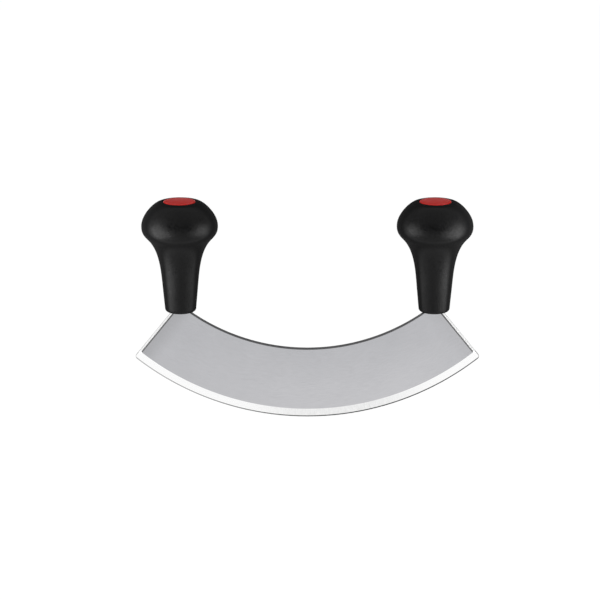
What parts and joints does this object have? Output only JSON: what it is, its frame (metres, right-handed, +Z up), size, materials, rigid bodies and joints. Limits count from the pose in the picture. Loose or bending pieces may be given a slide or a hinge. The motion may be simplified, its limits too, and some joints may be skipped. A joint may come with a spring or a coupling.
{
  "type": "mezzaluna",
  "caption": "Curved rocking chopping blade with a round-topped palm knob standing on each horn, for mincing herbs on a board.",
  "frame": {"origin": "lowest point of the cutting edge, in the middle of the blade's thickness, halfway between the knobs", "axes": "+X along the blade from the left knob to the right one, +Y through the blade's thickness towards its back face, +Z up through the knobs"},
  "size_m": [0.2298, 0.0506, 0.1495],
  "materials": {
    "blade_steel": "fine satin faces with a brighter ground bevel",
    "knob_plastic": "black, finely textured satin moulding",
    "cap_plastic": "red, satin moulding",
    "fixing_steel": "plain machined steel"
  },
  "bodies": {
    "root": {"blade": "blade_steel", "left_handle": "knob_plastic", "right_handle": "knob_plastic", "left_cap": "cap_plastic", "right_cap": "cap_plastic", "left_tang_rod": "fixing_steel", "right_tang_rod": "fixing_steel", "left_washer": "fixing_steel", "right_washer": "fixing_steel", "left_nut": "fixing_steel", "right_nut": "fixing_steel"}
  },
  "joints": []
}
